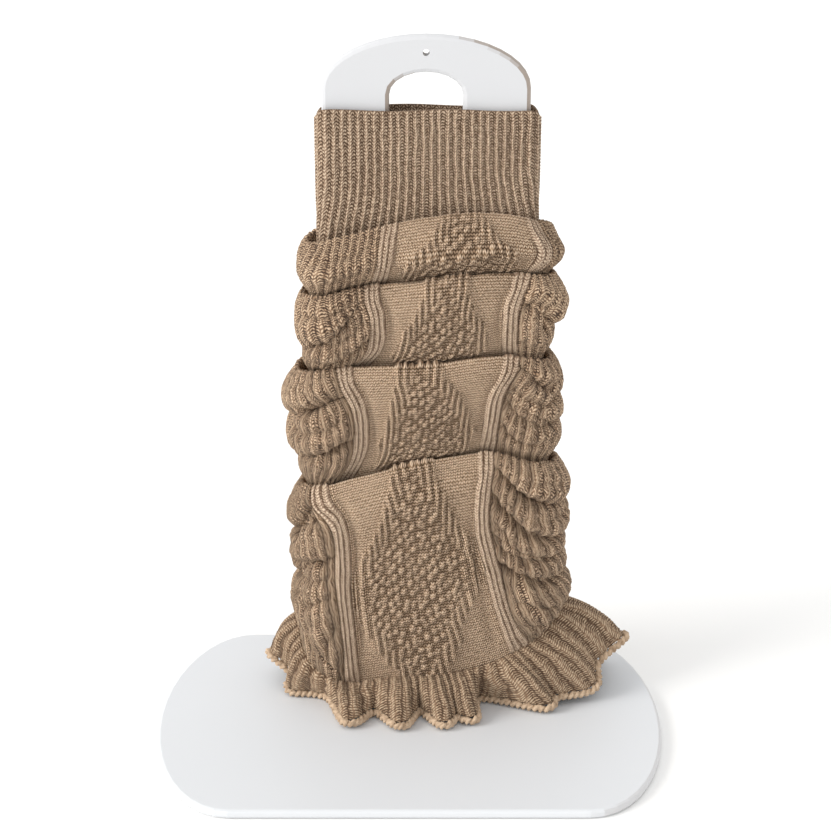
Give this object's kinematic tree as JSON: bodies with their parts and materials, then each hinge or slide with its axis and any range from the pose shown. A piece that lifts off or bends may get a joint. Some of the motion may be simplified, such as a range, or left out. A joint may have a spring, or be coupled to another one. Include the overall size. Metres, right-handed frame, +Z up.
{
  "type": "knit leg warmer on a display stand",
  "caption": "Knit leg warmer with ribbed cuff, gathered sides, diamond front panel and ruffled hem, folded in tiers over an upright board on a flat base plate.",
  "frame": {"origin": "middle of the base plate's underside", "axes": "+Z up along the board, +Y to the back, +X to the right as seen from the front"},
  "size_m": [0.29, 0.197, 0.393],
  "materials": {
    "knit": "matt wool knit",
    "light_knit": "matt wool knit, light edge stitches",
    "white_board": "satin white"
  },
  "bodies": {
    "root": {"cuff": "knit", "front_panel": "knit", "back_panel": "knit", "side_left": "knit", "side_right": "knit", "ruffle": "knit", "band_front_left": "light_knit", "band_front_right": "light_knit", "band_back_left": "light_knit", "band_back_right": "light_knit", "ruffle_edge": "light_knit", "stand_board": "white_board", "stand_base": "white_board"}
  },
  "joints": []
}
